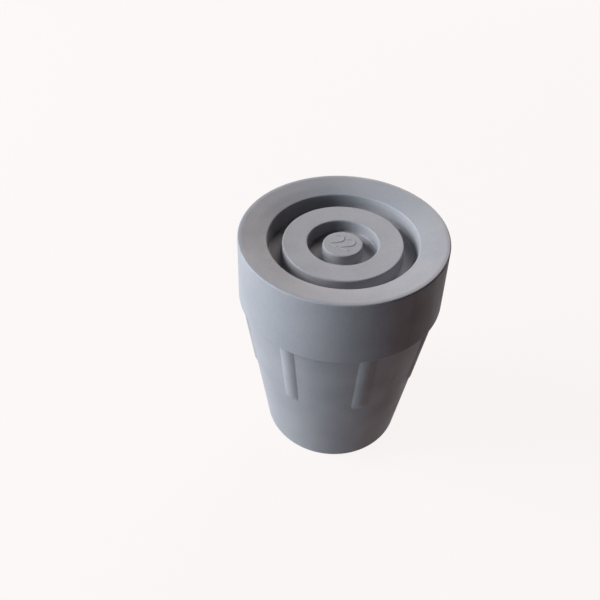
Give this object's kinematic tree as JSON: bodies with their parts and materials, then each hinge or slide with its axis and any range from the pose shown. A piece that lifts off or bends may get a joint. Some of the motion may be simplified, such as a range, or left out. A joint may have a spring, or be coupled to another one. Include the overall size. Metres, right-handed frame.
{
  "type": "rubber chair foot",
  "caption": "One-piece push-on rubber foot for the end of a round tube leg: blind socket, tapered ribbed sleeve, wide flange and a dished tread with ring grooves.",
  "frame": {"origin": "centre of the socket's mouth, in the plane of the mouth rim that it stands on", "axes": "+Z along the socket's axis from the mouth to the tread; +X and +Y each through the middle of a grip rib"},
  "size_m": [0.042, 0.042, 0.0533],
  "materials": {
    "grey_rubber": "matt moulded mid-grey rubber"
  },
  "bodies": {
    "root": {"foot": "grey_rubber"}
  },
  "joints": []
}
